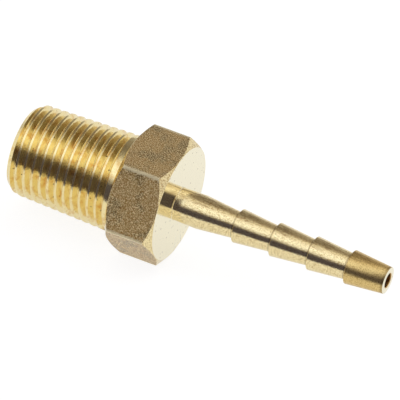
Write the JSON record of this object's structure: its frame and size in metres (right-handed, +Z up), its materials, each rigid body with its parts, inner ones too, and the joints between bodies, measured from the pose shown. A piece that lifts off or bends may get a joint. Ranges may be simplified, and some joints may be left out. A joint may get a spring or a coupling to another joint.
{
  "type": "hose barb tail",
  "caption": "Turned brass hose barb tail with a male taper pipe thread, a spanner hexagon and a saw-tooth barbed tail, and a stepped bore through it.",
  "frame": {"origin": "on the waterway's axis, in the plane of the hexagon's hose-side face", "axes": "+X along the barbed tail towards its tip, -X towards the small end of the taper thread, +Z up with one hexagon flat below"},
  "size_m": [0.0403, 0.0138, 0.012],
  "materials": {
    "brass": "turned, with grit-blasted hexagon flats"
  },
  "bodies": {
    "root": {"hose_tail": "brass"}
  },
  "joints": []
}
